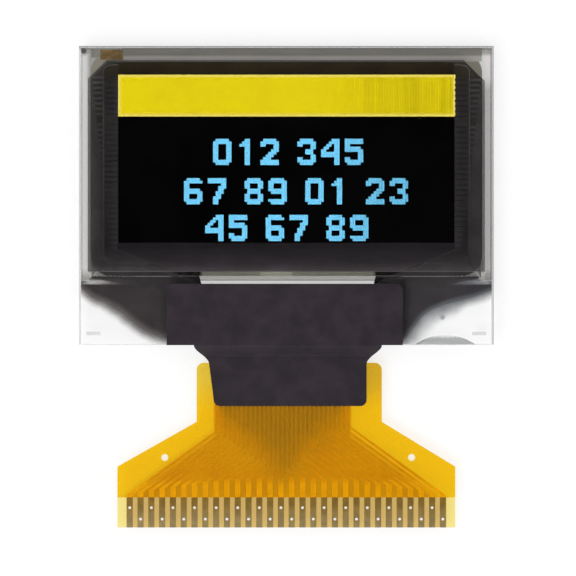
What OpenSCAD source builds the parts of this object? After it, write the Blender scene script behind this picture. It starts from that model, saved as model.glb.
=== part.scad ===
// Bare OLED display panel with a polyimide flex tail.
// Millimetres. The part lies on the back of its cap glass, with the screen facing +Z.
// The origin is the centre of the cap's back, X runs across the screen and Y up the screen.

/* [Glass] */
// Width of both glasses
panel_w = 26.7; // [25.5:0.1:32]
// Height of the front glass
panel_h = 19.26; // [19.26:0.1:24]
// Thickness of the front glass
glass_t = 0.6; // [0.4:0.05:1.1]
// Height of the cap glass behind it
cap_h = 15.1; // [15:0.1:15.4]
// Thickness of the cap glass
cap_t = 0.6; // [0.5:0.05:1.1]
// Width of the recess etched into the cap
cavity_w = 23.74; // [23.6:0.02:24]
// Height of the recess
cavity_h = 12.86; // [12.6:0.02:13]
// Depth of the recess
cavity_d = 0.3; // [0.2:0.05:0.4]
// Corner radius of the recess
cavity_r = 0.5; // [0.2:0.1:1]
// From the top edge of the glasses to the recess
cavity_top = 1.12; // [1.05:0.01:1.2]
// Length of the shell-shaped chip on the lower edge of the front glass
edge_chip_l = 4; // [1:0.1:4]
// How far the chip reaches in from the edge at the rear face
edge_chip_d = 0.63; // [0.2:0.01:1]
// Place of the chip along the edge
edge_chip_x = 10.3; // [9:0.05:11]

/* [Seal] */
// Thickness of the bond line between the glasses
seal_t = 0.05; // [0.045:0.005:0.1]
// Width of the seal bead
seal_w = 0.8; // [0.4:0.05:0.8]
// From the recess to the seal bead
seal_gap = 0.02; // [0:0.01:0.2]
// Thickness of the drying sheet
desiccant_t = 0.15; // [0.1:0.01:0.2]
// From the drying sheet to the walls of the recess
desiccant_gap = 0.9; // [0.3:0.1:3]

/* [Screen] */
// Number of pixel columns
columns = 128; // [96:16:128]
// Number of pixel rows
rows = 64; // [48:16:64]
// Number of rows in the yellow band at the top
yellow_rows = 16; // [8:8:16]
// Distance from pixel to pixel
pixel_pitch = 0.17; // [0.15:0.005:0.17]
// Gap between two pixels
pixel_gap = 0.016; // [0.01:0.002:0.03]
// Extra gap between the yellow and the blue rows
colour_gap = 0.34; // [0.17:0.01:0.4]
// From the top edge of the glass to the first row
screen_top = 1.85; // [1.8:0.01:2.2]
// Thickness that stands for each evaporated or printed layer
film_t = 0.01; // [0.008:0.001:0.012]
// From the outermost pixels to the edge of the light-giving layers
layer_margin = 0.03; // [0.02:0.01:0.05]
// Length of each contact beside the screen
contact_l = 0.3; // [0.2:0.01:0.35]
// From the insulating film to the walls of the recess
insulator_gap = 0.02; // [0:0.01:0.2]

/* [Leads on the glass] */
// From lane to lane of the row leads beside the screen
lane_pitch = 0.04; // [0.036:0.001:0.04]
// From the edge of the glass to the outermost lane
lane_inset = 0.75; // [0.7:0.01:0.8]
// Height above the ledge edge at which the outermost lane turns in
lane_turn = 4.35; // [4.2:0.05:4.6]
// Share of the space that the row leads fill
lead_fill = 0.7; // [0.5:0.05:0.8]
// From lead to lead at the driver chip
chip_pitch = 0.034; // [0.03:0.001:0.034]
// How far each lead reaches in under the chip
lead_overlap = 0.12; // [0.05:0.01:0.2]

/* [Polarizer] */
// Width of the polarizer
polarizer_w = 25.5; // [24.5:0.1:25.9]
// Height of the polarizer
polarizer_h = 13.6; // [13.2:0.1:14]
// Thickness of the polarizer
polarizer_t = 0.2; // [0.1:0.01:0.25]
// From the top edge of the glass to the polarizer
polarizer_top = 0.93; // [0.7:0.01:1.1]
// Cut of its upper left corner
polarizer_cut_left = 1.2; // [0.5:0.05:1.5]
// Cut of its upper right corner
polarizer_cut_right = 1.35; // [0.5:0.05:1.5]

/* [Driver chip] */
// Length of the chip
chip_w = 6.76; // [6.7:0.02:8]
// Width of the chip
chip_h = 0.86; // [0.7:0.02:1]
// Thickness of the chip
chip_t = 0.3; // [0.2:0.01:0.33]
// From the ledge edge to the chip
chip_up = 1.69; // [1.6:0.01:1.9]
// Thickness of the conductive bond films
bond_t = 0.02; // [0.015:0.005:0.03]
// How far the bond film stands out round the chip
bond_margin = 0.1; // [0.05:0.01:0.2]

/* [Resin] */
// Height of the resin's upper edge above the ledge edge
resin_h = 3.8; // [3.6:0.05:3.9]
// Half width of the resin at its upper edge
resin_half_w = 13.2; // [12:0.1:13.3]
// Half width of the resin at the ledge edge
resin_foot = 7.6; // [6:0.1:9]
// Thickness of the resin
resin_t = 0.42; // [0.4:0.01:0.45]
// Half width of the clear window above the tape, where no resin reaches the cap glass
window_half_w = 5.65; // [5.5:0.05:6]
// Half width up to which resin has crept to the cap on the left
creep_left = 9.9; // [8:0.1:11]
// Half width up to which resin has crept to the cap on the right
creep_right = 10.9; // [8:0.1:11.5]
// Length over which the crept resin runs out
creep_end = 0.7; // [0.3:0.1:1]
// Height of its shallow end at the left edge of the glass
resin_end_left = 3.45; // [3:0.05:3.55]
// Height of its shallow end at the right edge of the glass
resin_end_right = 3.3; // [3:0.05:3.55]

/* [Flex tail] */
// From the ledge edge to the end of the tail
tail_l = 11.85; // [11.5:0.05:20]
// Width of the tail at its solder pads
tail_w = 21.9; // [21.6:0.1:26]
// Width of the neck
neck_w = 12; // [11:0.1:14]
// How far the neck sits to the right of the tail's middle
neck_shift = 0.19; // [0:0.01:0.4]
// From the ledge edge to the shoulders of the neck
neck_start = 1.17; // [1:0.01:1.5]
// From the ledge edge to where the shoulders slope out
neck_end = 5; // [4.6:0.1:5.6]
// From the ledge edge to where the slopes end
slope_end = 7.9; // [7.6:0.1:8.5]
// Corner radius of the neck
neck_r = 0.45; // [0.2:0.05:0.8]
// Width of the tab that is bonded to the glass
tab_w = 9.9; // [9.7:0.1:10.2]
// How far the tab reaches over the glass
tab_overlap = 1.2; // [1:0.05:1.4]
// Thickness of the base film
base_t = 0.04; // [0.025:0.005:0.06]
// Thickness of the copper
copper_t = 0.02; // [0.015:0.005:0.035]
// Thickness of the cover film
coverlay_t = 0.04; // [0.025:0.005:0.05]
// From the ledge edge to the upper end of the cover film
coverlay_start = 0.15; // [0.1:0.01:0.3]
// Thickness that stands for the gold on the pads
plating_t = 0.01; // [0.008:0.001:0.012]

/* [Solder pads] */
// Number of solder pads
pads = 30; // [20:2:30]
// Distance from pad to pad
pad_pitch = 0.7; // [0.6:0.01:0.72]
// Width of a pad
pad_w = 0.4; // [0.3:0.01:0.45]
// Length of a pad
pad_l = 1.95; // [1.5:0.05:2.5]
// Radius of the vent hole in each pad
vent_r = 0.09; // [0.07:0.01:0.13]
// From the tail's end to the lower vent holes
vent_low = 0.54; // [0.3:0.01:0.7]
// From the tail's end to the upper vent holes
vent_high = 1.28; // [1.2:0.01:1.6]
// Radius of the locating holes
locating_r = 0.2; // [0.15:0.01:0.4]
// Distance between the locating holes
locating_span = 16; // [15:0.1:17]
// From the ledge edge to the locating holes
locating_down = 7.31; // [7:0.01:7.6]
// How far the pair of locating holes sits to the right
locating_shift = 0.12; // [0:0.01:0.3]
// Radius by which the cover film clears a locating hole
locating_clear = 0.05; // [0.02:0.01:0.1]

/* [Flex tracks] */
// Distance from track to track where the flex is bonded to the glass
bond_pitch = 0.295; // [0.26:0.005:0.32]
// How far the bundle of tracks sits to the left of the neck's middle
bond_shift = 0.44; // [0:0.01:0.5]
// Width of a track at the bonded end
track_w = 0.18; // [0.12:0.01:0.2]
// Width of a track above its pad
stem_w = 0.34; // [0.2:0.01:0.36]
// Length of the outermost straight stems above the pads
stem_l = 0.1; // [0.05:0.05:0.8]
// How much longer the middle stems are
stem_rise = 1.15; // [0.3:0.05:1.25]
// Angle of the slanting tracks
track_angle = 36; // [30:0.5:40]

/* [Light shield tape] */
// Width of the tape's head on the glass
tape_w = 15.2; // [14.5:0.1:16]
// How far the head sits to the left of the middle
tape_shift = 0.1; // [0:0.01:0.3]
// Height of the head above the ledge edge
tape_up = 3.95; // [3.6:0.01:4]
// From the ledge edge to the end of the tape
tape_down = 3.97; // [3.5:0.01:4.5]
// Thickness of the tape
tape_t = 0.06; // [0.04:0.01:0.1]
// Width of the tape at the ledge edge
tape_root_w = 12.1; // [11.6:0.1:12.6]
// Width of the tape's tab on the flex
tape_tab_w = 10.2; // [10:0.1:10.6]
// How far the tape's tab sits to the right of the middle
tape_tab_shift = 0.1; // [0:0.01:0.3]
// How far the tab's left side leans in
tape_lean = 0.3; // [0:0.05:0.5]
// Length over which the tape narrows
tape_waist = 1.25; // [1:0.05:1.4]
// Radius of the head's upper right corner
tape_corner = 0.45; // [0.2:0.05:0.8]
// Radius of the tab's lower corners
tape_tab_r = 0.4; // [0.2:0.05:0.8]
// Angle of the tape where it drops off the glass
tape_drop_angle = 45; // [30:5:60]
// Inner radius of the tape's bends
tape_bend_r = 0.2; // [0.15:0.01:0.3]

/* [Marks] */
// Height of the test bus along the top edge
bus_h = 0.86; // [0.4:0.01:0.9]
// From the top edge of the glass to the test bus
bus_inset = 0.04; // [0.02:0.01:0.1]
// From the test bus to its neighbours
bus_gap = 0.06; // [0.04:0.01:0.15]
// From the right edge of the glass to the end of the test bus
bus_end = 0.68; // [0.3:0.01:1]
// Width of the test pad at the left end of the bus
test_pad_w = 1.45; // [1:0.05:2]
// Height of the test pad
test_pad_h = 0.66; // [0.4:0.01:0.8]
// From the top edge of the glass to the test pad
test_pad_top = 0.13; // [0.05:0.01:0.2]
// From the left edge of the glass to the test pad
test_pad_inset = 1.3; // [1.2:0.05:2]
// Radius of the corner mark
corner_mark_r = 0.17; // [0.1:0.01:0.2]
// From the edges of the glass to the corner mark
corner_mark_inset = 0.05; // [0.05:0.01:0.2]
// Length of the marks beside the ledge edge
edge_mark_l = 0.9; // [0.5:0.05:1]
// Height of the marks beside the ledge edge
edge_mark_h = 0.22; // [0.1:0.01:0.3]
// Height of the marks above the ledge edge
edge_mark_up = 0.62; // [0.5:0.01:1]
// From the sides of the glass to the edge marks
edge_mark_inset = 0.4; // [0.3:0.01:0.8]
// Radius of the dot on the ledge
dot_r = 0.16; // [0.08:0.01:0.2]
// From the right edge of the glass to the dot
dot_inset = 3.23; // [3:0.01:3.4]
// Height of the dot above the ledge edge
dot_up = 1.79; // [1.6:0.01:1.8]

/* [Hidden] */

$fn = 48;
// Extra length that lets a cut run clean through
through = 1;

// Edges of the glasses
y_top = cap_h / 2;
y_edge = y_top - panel_h;
side = panel_w / 2;

// Faces of the glasses and levels of the layers, from the back to the front
z_rear = cap_t + seal_t;
z_front = z_rear + glass_t;
z_lead = z_rear - film_t;
z_organic = z_lead - film_t;
z_metal = z_organic - film_t;
z_copper = z_lead - bond_t - copper_t;
z_base = z_copper - base_t;
z_coverlay = z_copper + copper_t;
z_tape = z_coverlay + coverlay_t;

// The screen
screen_w = columns * pixel_pitch - pixel_gap;
pixel = pixel_pitch - pixel_gap;
y_screen = y_top - screen_top;
y_screen_end = row_y(rows - 1) - pixel / 2;
y_split = row_y(yellow_rows) + pixel / 2 + colour_gap / 2;
layer_half_w = screen_w / 2 + layer_margin;
contact_x = layer_half_w + contact_l;

// The recess and what lies in line with it
y_cavity = y_top - cavity_top - cavity_h / 2;

// The chip
y_chip_top = y_edge + chip_up + chip_h;
side_leads = rows / 2;
chip_leads = columns + rows;

// The pads and tracks
y_tail = y_edge - tail_l;
y_pad_top = y_tail + pad_l;

// Places of evenly spaced things about the middle
function spread(n, i, pitch) = (i - (n - 1) / 2) * pitch;

// Height of the middle of a pixel row, row 0 at the top
function row_y(r) =
    y_screen - (r + 0.5) * pixel_pitch + pixel_gap / 2 - (r >= yellow_rows ? colour_gap : 0);

// Place of a track where the flex is bonded to the glass
function bond_x(k) = spread(pads, k, bond_pitch) + neck_shift - bond_shift;

// Points of a round corner, from one angle to another
function arc(centre, r, from, to, steps = 8) =
    [for (i = [0:steps]) centre + r * [cos(from + (to - from) * i / steps),
                                       sin(from + (to - from) * i / steps)]];

// Points of a smooth curve between two ends, pulled towards two handles
function curve(a, b, c, d, steps = 14) =
    [for (i = [0:steps]) let (t = i / steps)
        pow(1 - t, 3) * a + 3 * t * pow(1 - t, 2) * b + 3 * t * t * (1 - t) * c + pow(t, 3) * d];

// Points that ease from one half width to another while the height runs down
function ease(x_from, x_to, y_from, y_to, steps = 10) =
    [for (i = [0:steps]) let (t = i / steps)
        [x_from + (x_to - x_from) * (1 - cos(180 * t)) / 2, y_from + (y_to - y_from) * t]];

function reversed(list) = [for (i = [len(list) - 1:-1:0]) list[i]];

// A flat strip along a path, with its width across X given at each point
module strip(path, widths) {
    polygon(concat(
        [for (i = [0:len(path) - 1]) path[i] - [widths[i] / 2, 0]],
        [for (i = [len(path) - 1:-1:0]) path[i] + [widths[i] / 2, 0]]));
}

// A box given by its lowest corner in X and Y and its size, with round corners
module plate(w, h, t, r) {
    linear_extrude(t) polygon(concat(
        arc([w / 2 - r, h / 2 - r], r, 0, 90),
        arc([-w / 2 + r, h / 2 - r], r, 90, 180),
        arc([-w / 2 + r, -h / 2 + r], r, 180, 270),
        arc([w / 2 - r, -h / 2 + r], r, 270, 360)));
}

// A centred rectangle at a height, for the flat layers
module layer(w, y_low, y_high, z, t) {
    translate([-w / 2, y_low, z]) cube([w, y_high - y_low, t]);
}

// ---- Glasses -------------------------------------------------------------------------

// Ball whose surface leaves a chip that runs out at the front face
chip_r_plan = (pow(edge_chip_l / 2, 2) + pow(edge_chip_d, 2)) / (2 * edge_chip_d);
chip_out = chip_r_plan - edge_chip_d;
chip_below = (pow(chip_r_plan, 2) - pow(chip_out, 2) - pow(glass_t, 2)) / (2 * glass_t);
chip_ball_r = sqrt(pow(chip_r_plan, 2) + pow(chip_below, 2));

module substrate_glass() {
    color([0.93, 0.96, 0.95, 0.4])
    difference() {
        layer(panel_w, y_edge, y_top, z_rear, glass_t);
        translate([edge_chip_x, y_edge - chip_out, z_rear - chip_below]) sphere(chip_ball_r);
    }
}

module cap_glass() {
    color([0.88, 0.9, 0.9, 0.5])
    difference() {
        layer(panel_w, y_top - cap_h, y_top, 0, cap_t);
        translate([0, y_cavity, cap_t - cavity_d])
            plate(cavity_w, cavity_h, cavity_d + through, cavity_r);
    }
}

module seal_frame() {
    inner = [cavity_w + 2 * seal_gap, cavity_h + 2 * seal_gap];
    color([0.72, 0.71, 0.66])
    translate([0, y_cavity, cap_t])
    difference() {
        plate(inner[0] + 2 * seal_w, inner[1] + 2 * seal_w, seal_t - film_t,
              cavity_r + seal_gap + seal_w);
        translate([0, 0, -through])
            plate(inner[0], inner[1], seal_t + 2 * through, cavity_r + seal_gap);
    }
}

module desiccant_sheet() {
    color([0.85, 0.84, 0.8])
    translate([0, y_cavity, cap_t - cavity_d])
        plate(cavity_w - 2 * desiccant_gap, cavity_h - 2 * desiccant_gap, desiccant_t, cavity_r);
}

module polarizer() {
    half = polarizer_w / 2;
    high = y_top - polarizer_top;
    low = high - polarizer_h;
    color([0.12, 0.11, 0.12])
    translate([0, 0, z_front])
    linear_extrude(polarizer_t) polygon([
        [-half, low], [half, low], [half, high - polarizer_cut_right],
        [half - polarizer_cut_right, high], [polarizer_cut_left - half, high],
        [-half, high - polarizer_cut_left]]);
}

// ---- Screen --------------------------------------------------------------------------

// Each clear strip runs down behind its pixels and on across the ledge to the chip
module column_electrodes() {
    high = y_top - bus_inset - bus_h - bus_gap;
    color([0.8, 0.83, 0.78, 0.5])
    translate([0, 0, z_lead])
    linear_extrude(film_t)
    for (k = [0:columns - 1]) {
        x = spread(columns, k, pixel_pitch);
        foot = spread(columns, k, chip_pitch);
        strip([[x, high], [x, y_screen_end - layer_margin], [foot, y_chip_top],
               [foot, y_chip_top - lead_overlap]],
              [pixel, pixel, lead_fill * chip_pitch, lead_fill * chip_pitch]);
    }
}

module insulator_frame() {
    color([0.1, 0.1, 0.1])
    translate([0, 0, z_organic])
    difference() {
        translate([0, y_cavity, 0])
            plate(cavity_w - 2 * insulator_gap, cavity_h - 2 * insulator_gap, film_t,
                  cavity_r - insulator_gap);
        layer(2 * layer_half_w, y_screen_end - layer_margin, y_screen + layer_margin,
              -through, film_t + 2 * through);
        for (r = [0:rows - 1]) contact_window(r);
    }
}

// Window through which a row's lead reaches its metal strip, left of even rows, right of odd
module contact_window(r) {
    reach = contact_x - layer_half_w;
    translate([r % 2 == 0 ? -contact_x : layer_half_w, row_y(r) - pixel / 2 - pixel_gap, -through])
        cube([reach, pixel + 2 * pixel_gap, film_t + 2 * through]);
}

module yellow_emitter() {
    color([0.87, 0.8, 0.08])
    layer(2 * layer_half_w, y_split, y_screen + layer_margin, z_organic, film_t);
}

module blue_emitter() {
    color([0.03, 0.03, 0.05])
    layer(2 * layer_half_w, y_screen_end - layer_margin, y_split, z_organic, film_t);
}

// Even rows reach the contacts on the left, odd rows those on the right
module cathode_rows() {
    color([0.75, 0.75, 0.76])
    for (r = [0:rows - 1]) {
        left = r % 2 == 0 ? contact_x : layer_half_w;
        right = r % 2 == 0 ? layer_half_w : contact_x;
        translate([-left, row_y(r) - pixel / 2, z_metal]) cube([left + right, pixel, film_t]);
    }
}

module cathode_separators() {
    color([0.2, 0.17, 0.16])
    for (r = [1:rows - 1])
        layer(2 * layer_half_w, row_y(r) + pixel / 2, row_y(r - 1) - pixel / 2, z_metal, film_t);
}

// ---- Leads on the glass --------------------------------------------------------------

// Lane 0 is the outermost and serves the top row of its side
function lane_x(i) = side - lane_inset - i * lane_pitch;
function lane_turn_y(i) =
    y_edge + lane_turn + (y_screen_end - y_edge - lane_turn) * i / (side_leads - 1);
function lane_foot(i) = spread(chip_leads, chip_leads - 1 - i, chip_pitch);
// Where the slanting part of a lane is at a given height
function fan_x(i, y) =
    lane_foot(i) + (y - y_chip_top) * (lane_x(i) - lane_foot(i)) / (lane_turn_y(i) - y_chip_top);
// Where a lane is at a given height, upright above its turn and slanting below it
function lane_at(i, y) = y > lane_turn_y(i) ? lane_x(i) : fan_x(i, y);
// Width of a slanting part, within the room that the lanes on both sides leave
function fan_w(i, y) =
    lead_fill * min(fan_x(i, y) - fan_x(i + 1, y), 2 * (lane_at(i - 1, y) - fan_x(i, y)));

// One lead: contact at its row, lane down beside the screen, slant in to the chip
module row_lead(i, row) {
    knee = lane_turn_y(i) - lane_pitch;
    lane_w = lead_fill * lane_pitch;
    finger_h = pixel;
    linear_extrude(film_t) {
        strip([[lane_x(i), row_y(row) + finger_h / 2], [lane_x(i), lane_turn_y(i)],
               [fan_x(i, knee), knee], [fan_x(i, y_chip_top), y_chip_top],
               [lane_foot(i), y_chip_top - lead_overlap]],
              [lane_w, lane_w, fan_w(i, knee), fan_w(i, y_chip_top), lead_fill * chip_pitch]);
        translate([layer_half_w, row_y(row) - finger_h / 2])
            square([lane_x(i) - layer_half_w, finger_h]);
    }
    translate([layer_half_w + layer_margin, row_y(row) - finger_h / 2, -film_t])
        cube([contact_x - layer_half_w - 2 * layer_margin, finger_h, 2 * film_t]);
}

module right_row_leads() {
    color([0.24, 0.23, 0.24])
    translate([0, 0, z_lead])
    for (i = [0:side_leads - 1]) row_lead(i, 2 * i + 1);
}

module left_row_leads() {
    color([0.24, 0.23, 0.24])
    translate([0, 0, z_lead])
    mirror([1, 0, 0])
    for (i = [0:side_leads - 1]) row_lead(i, 2 * i);
}

module input_leads() {
    spread_in = (chip_w - 2 * bond_margin) / pads;
    color([0.45, 0.44, 0.42])
    translate([0, 0, z_lead])
    linear_extrude(film_t)
    for (k = [0:pads - 1]) {
        x = bond_x(k);
        foot = spread(pads, k, spread_in);
        strip([[x, y_edge + bond_margin], [x, y_edge + tab_overlap],
               [foot, y_edge + chip_up], [foot, y_edge + chip_up + lead_overlap]],
              [track_w, track_w, lead_fill * spread_in, lead_fill * spread_in]);
    }
}

module test_bus() {
    from = test_pad_inset + test_pad_w + bus_gap;
    color([0.5, 0.48, 0.46])
    translate([from - side, y_top - bus_inset - bus_h, z_lead])
        cube([panel_w - from - bus_end, bus_h, film_t]);
}

module test_pad() {
    color([0.42, 0.34, 0.22])
    translate([test_pad_inset - side, y_top - test_pad_top - test_pad_h, z_lead])
        cube([test_pad_w, test_pad_h, film_t]);
}

module alignment_marks() {
    color([0.35, 0.35, 0.33])
    translate([0, 0, z_lead]) {
        translate([corner_mark_inset + corner_mark_r - side,
                   y_top - corner_mark_inset - corner_mark_r, 0])
            cylinder(h = film_t, r = corner_mark_r);
        translate([side - dot_inset, y_edge + dot_up, 0]) cylinder(h = film_t, r = dot_r);
        for (s = [-1, 1])
            translate([s * (side - edge_mark_inset - edge_mark_l / 2) - edge_mark_l / 2,
                       y_edge + edge_mark_up, 0])
                cube([edge_mark_l, edge_mark_h, film_t]);
    }
}

// ---- Driver chip and resin -----------------------------------------------------------

module driver_chip() {
    color([0.3, 0.3, 0.33])
    layer(chip_w, y_edge + chip_up, y_chip_top, z_lead - bond_t - chip_t, chip_t);
}

module chip_bond_film() {
    color([0.75, 0.7, 0.55])
    layer(chip_w + 2 * bond_margin, y_edge + chip_up - bond_margin, y_chip_top + bond_margin,
          z_lead - bond_t, bond_t);
}

module flex_bond_film() {
    color([0.7, 0.68, 0.6])
    translate([neck_shift, 0, 0])
    layer(tab_w - 2 * bond_margin, y_edge + bond_margin, y_edge + tab_overlap - bond_margin,
          z_lead - bond_t, bond_t);
}

// Outline of the resin about its own middle height, with sagging ends
module resin_outline(middle) {
    right = curve([resin_half_w, resin_end_right], [9.6, 2.9], [8.7, 1.5], [resin_foot, 0]);
    left = curve([-resin_foot, 0], [-9.6, 0.8], [-11, 2.3], [-resin_half_w, resin_end_left]);
    translate([0, -middle])
    polygon(concat([[resin_half_w, resin_h]], right, left, [[-resin_half_w, resin_h]]));
}

// Resin that has crept up to the cap glass and in under its edge, on one side of the window
module resin_creep(s, reach) {
    low = y_edge + resin_h - 2 * creep_end;
    rim = y_top - cap_h;
    bead = y_cavity - cavity_h / 2 - seal_gap - seal_w;
    start = s * window_half_w;
    translate([0, 0, z_lead - resin_t])
        linear_extrude(resin_t)
        polygon([[start, low], [start, rim], [s * reach, rim], [s * (reach + creep_end), low]]);
    translate([0, 0, cap_t])
        linear_extrude(z_lead - cap_t)
        polygon([[start, low], [start, bead], [s * (reach - creep_end), bead], [s * reach, low]]);
}

// The resin thins out towards its edges and holds the chip and the end of the flex
module ledge_resin() {
    middle = resin_h / 2;
    color([0.2, 0.19, 0.2])
    difference() {
        union() {
            translate([0, y_edge + middle, z_lead])
                mirror([0, 0, 1])
                linear_extrude(resin_t, scale = [0.96, 0.8], slices = 1) resin_outline(middle);
            resin_creep(-1, creep_left);
            resin_creep(1, creep_right);
        }
        layer(chip_w + 2 * bond_margin, y_edge + chip_up - bond_margin, y_chip_top + bond_margin,
              z_lead - bond_t, bond_t + through);
        layer(chip_w, y_edge + chip_up, y_chip_top, z_lead - bond_t - chip_t, chip_t + through);
        translate([neck_shift, 0, 0])
            layer(tab_w, y_edge - through, y_edge + tab_overlap, z_base, z_lead - z_base + through);
    }
}

// ---- Flex tail -----------------------------------------------------------------------

// Outline of the whole flex: bonded tab, neck, slopes and tail
module flex_outline() {
    n = neck_w / 2;
    r = neck_r;
    neck = -neck_start - r;
    translate([0, y_edge])
    polygon(concat(
        [[neck_shift + tab_w / 2, tab_overlap], [neck_shift + tab_w / 2, -neck_start]],
        arc([neck_shift + n - r, neck], r, 90, 0),
        [[neck_shift + n, -neck_end], [tail_w / 2, -slope_end], [tail_w / 2, -tail_l],
         [-tail_w / 2, -tail_l], [-tail_w / 2, -slope_end], [neck_shift - n, -neck_end]],
        arc([neck_shift - n + r, neck], r, 180, 90),
        [[neck_shift - tab_w / 2, -neck_start], [neck_shift - tab_w / 2, tab_overlap]]));
}

module locating_holes(r) {
    for (s = [-1, 1])
        translate([locating_shift + s * locating_span / 2, y_edge - locating_down, -through])
            cylinder(h = cap_t + 2 * through, r = r);
}

// Every other pad has its vent high, the rest have it low
module vent_holes() {
    for (k = [0:pads - 1])
        translate([spread(pads, k, pad_pitch), y_tail + (k % 2 == 0 ? vent_high : vent_low),
                   -through])
            cylinder(h = cap_t + 2 * through, r = vent_r);
}

module flex_base_film() {
    color([0.95, 0.72, 0.2])
    difference() {
        translate([0, 0, z_base]) linear_extrude(base_t) flex_outline();
        locating_holes(locating_r);
        vent_holes();
    }
}

// One track: land with its stem, slant in towards the middle, straight up to the glass
module track(k) {
    x = spread(pads, k, pad_pitch);
    foot = bond_x(k);
    arch = 1 - pow(x / (pads * pad_pitch / 2), 2);
    turn = y_pad_top + stem_l + stem_rise * arch;
    knee = turn + abs(x - foot) * tan(track_angle);
    strip([[x, y_tail], [x, y_pad_top], [x, y_pad_top], [x, turn], [foot, knee],
           [foot, y_edge + tab_overlap]],
          [pad_w, pad_w, stem_w, stem_w, track_w, track_w]);
}

module flex_traces() {
    color([0.78, 0.5, 0.12])
    difference() {
        translate([0, 0, z_copper]) linear_extrude(copper_t) for (k = [0:pads - 1]) track(k);
        vent_holes();
    }
}

module pad_plating() {
    color([0.5, 0.42, 0.2])
    difference() {
        translate([0, y_tail, z_coverlay])
            for (k = [0:pads - 1])
                translate([spread(pads, k, pad_pitch) - pad_w / 2, 0, 0])
                    cube([pad_w, pad_l, plating_t]);
        vent_holes();
    }
}

module flex_coverlay() {
    color([0.93, 0.6, 0.08, 0.8])
    difference() {
        translate([0, 0, z_coverlay])
        linear_extrude(coverlay_t)
        intersection() {
            flex_outline();
            translate([-tail_w, y_pad_top]) square([2 * tail_w, y_edge - coverlay_start - y_pad_top]);
        }
        locating_holes(locating_r + locating_clear);
    }
}

// ---- Light shield tape ---------------------------------------------------------------

// Side view of the tape's face that lies a given height above what it sticks to
function tape_face(up) =
    let (a = tape_drop_angle,
         r = tape_bend_r,
         fall = z_front - z_tape,
         slope = (fall - 2 * r * (1 - cos(a))) / sin(a),
         far = y_edge - 2 * r * sin(a) - slope * cos(a))
    concat(
        [[y_edge + tape_up, z_front + up]],
        arc([y_edge, z_front - r], r + up, 90, 90 + a, 6),
        arc([far, z_tape + r], r - up, a - 90, -90, 6),
        [[y_edge - tape_down, z_tape + up]]);

module tape_outline() {
    head = tape_w / 2;
    root = tape_root_w / 2;
    tab = tape_tab_w / 2;
    right = tape_tab_shift + tab;
    left = tape_tab_shift - tab;
    foot = left + tape_lean;
    r = tape_tab_r;
    translate([0, y_edge])
    polygon(concat(
        arc([head - tape_shift - tape_corner, tape_up - tape_corner], tape_corner, 90, 0),
        [[head - tape_shift, 0]],
        ease(tape_tab_shift + root, right, 0, -tape_waist),
        arc([right - r, r - tape_down], r, 0, -90),
        arc([foot + r, r - tape_down], r, -90, -180),
        reversed(ease(tape_tab_shift - root, left, 0, -tape_waist)),
        [[-head - tape_shift, 0], [-head - tape_shift, tape_up]]));
}

module light_shield_tape() {
    color([0.2, 0.17, 0.19])
    intersection() {
        rotate([90, 0, 90])
            linear_extrude(panel_w, center = true)
            polygon(concat(tape_face(0), reversed(tape_face(tape_t))));
        linear_extrude(z_front + through) tape_outline();
    }
}

substrate_glass();
polarizer();
cap_glass();
seal_frame();
desiccant_sheet();
column_electrodes();
insulator_frame();
yellow_emitter();
blue_emitter();
cathode_rows();
cathode_separators();
left_row_leads();
right_row_leads();
test_bus();
test_pad();
alignment_marks();
input_leads();
driver_chip();
chip_bond_film();
flex_bond_film();
ledge_resin();
flex_base_film();
flex_traces();
pad_plating();
flex_coverlay();
light_shield_tape();
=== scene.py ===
"""Looks of the bare two-colour display panel with its flex tail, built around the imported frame."""

import logging
import math
from contextlib import contextmanager
from dataclasses import dataclass, field, replace
from enum import Enum
from typing import Callable, Iterable, Iterator, Optional, Protocol, Union

import bmesh
import bpy
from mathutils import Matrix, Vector


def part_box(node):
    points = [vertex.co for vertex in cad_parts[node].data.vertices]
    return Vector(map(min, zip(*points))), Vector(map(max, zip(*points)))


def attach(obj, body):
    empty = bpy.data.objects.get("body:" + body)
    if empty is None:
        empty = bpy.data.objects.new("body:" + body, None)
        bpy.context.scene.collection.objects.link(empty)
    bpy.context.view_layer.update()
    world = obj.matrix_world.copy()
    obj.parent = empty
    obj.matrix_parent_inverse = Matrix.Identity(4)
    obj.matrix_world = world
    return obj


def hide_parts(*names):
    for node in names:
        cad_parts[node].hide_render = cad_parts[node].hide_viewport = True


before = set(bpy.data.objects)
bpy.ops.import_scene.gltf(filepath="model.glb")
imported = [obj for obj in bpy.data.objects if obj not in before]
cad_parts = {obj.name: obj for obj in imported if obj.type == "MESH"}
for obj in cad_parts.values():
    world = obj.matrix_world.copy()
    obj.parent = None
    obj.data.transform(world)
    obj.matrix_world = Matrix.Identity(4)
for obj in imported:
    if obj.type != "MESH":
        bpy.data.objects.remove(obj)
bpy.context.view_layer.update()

log = logging.getLogger("display_panel")

Pair = tuple[float, float]
Triple = tuple[float, float, float]
Line = tuple[Pair, ...]
Tone = Triple
Socket = bpy.types.NodeSocket
Value = Union[float, Triple, Socket]
Part = Union[bmesh.types.BMVert, bmesh.types.BMEdge, bmesh.types.BMFace]

MM = 0.001
EVEN: Triple = (1.0, 1.0, 1.0)
BLACK: Tone = (0.0, 0.0, 0.0)
WHITE: Tone = (1.0, 1.0, 1.0)
BUMP_STRENGTH = 0.6
SAME_LEVEL = 0.0008
UPRIGHT = 0.999


def srgb(red: float, green: float, blue: float) -> Tone:
    """Turns a display colour of 0 to 255 into the linear tone that a shader takes."""
    parts = [part / 255.0 for part in (red, green, blue)]
    return tuple(p / 12.92 if p <= 0.04045 else ((p + 0.055) / 1.055) ** 2.4 for p in parts)


def shaded(tone: Tone, share: float) -> Tone:
    """Gives a tone with each part multiplied by a share and kept within 0 to 1."""
    return tuple(held(part * share) for part in tone)


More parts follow.
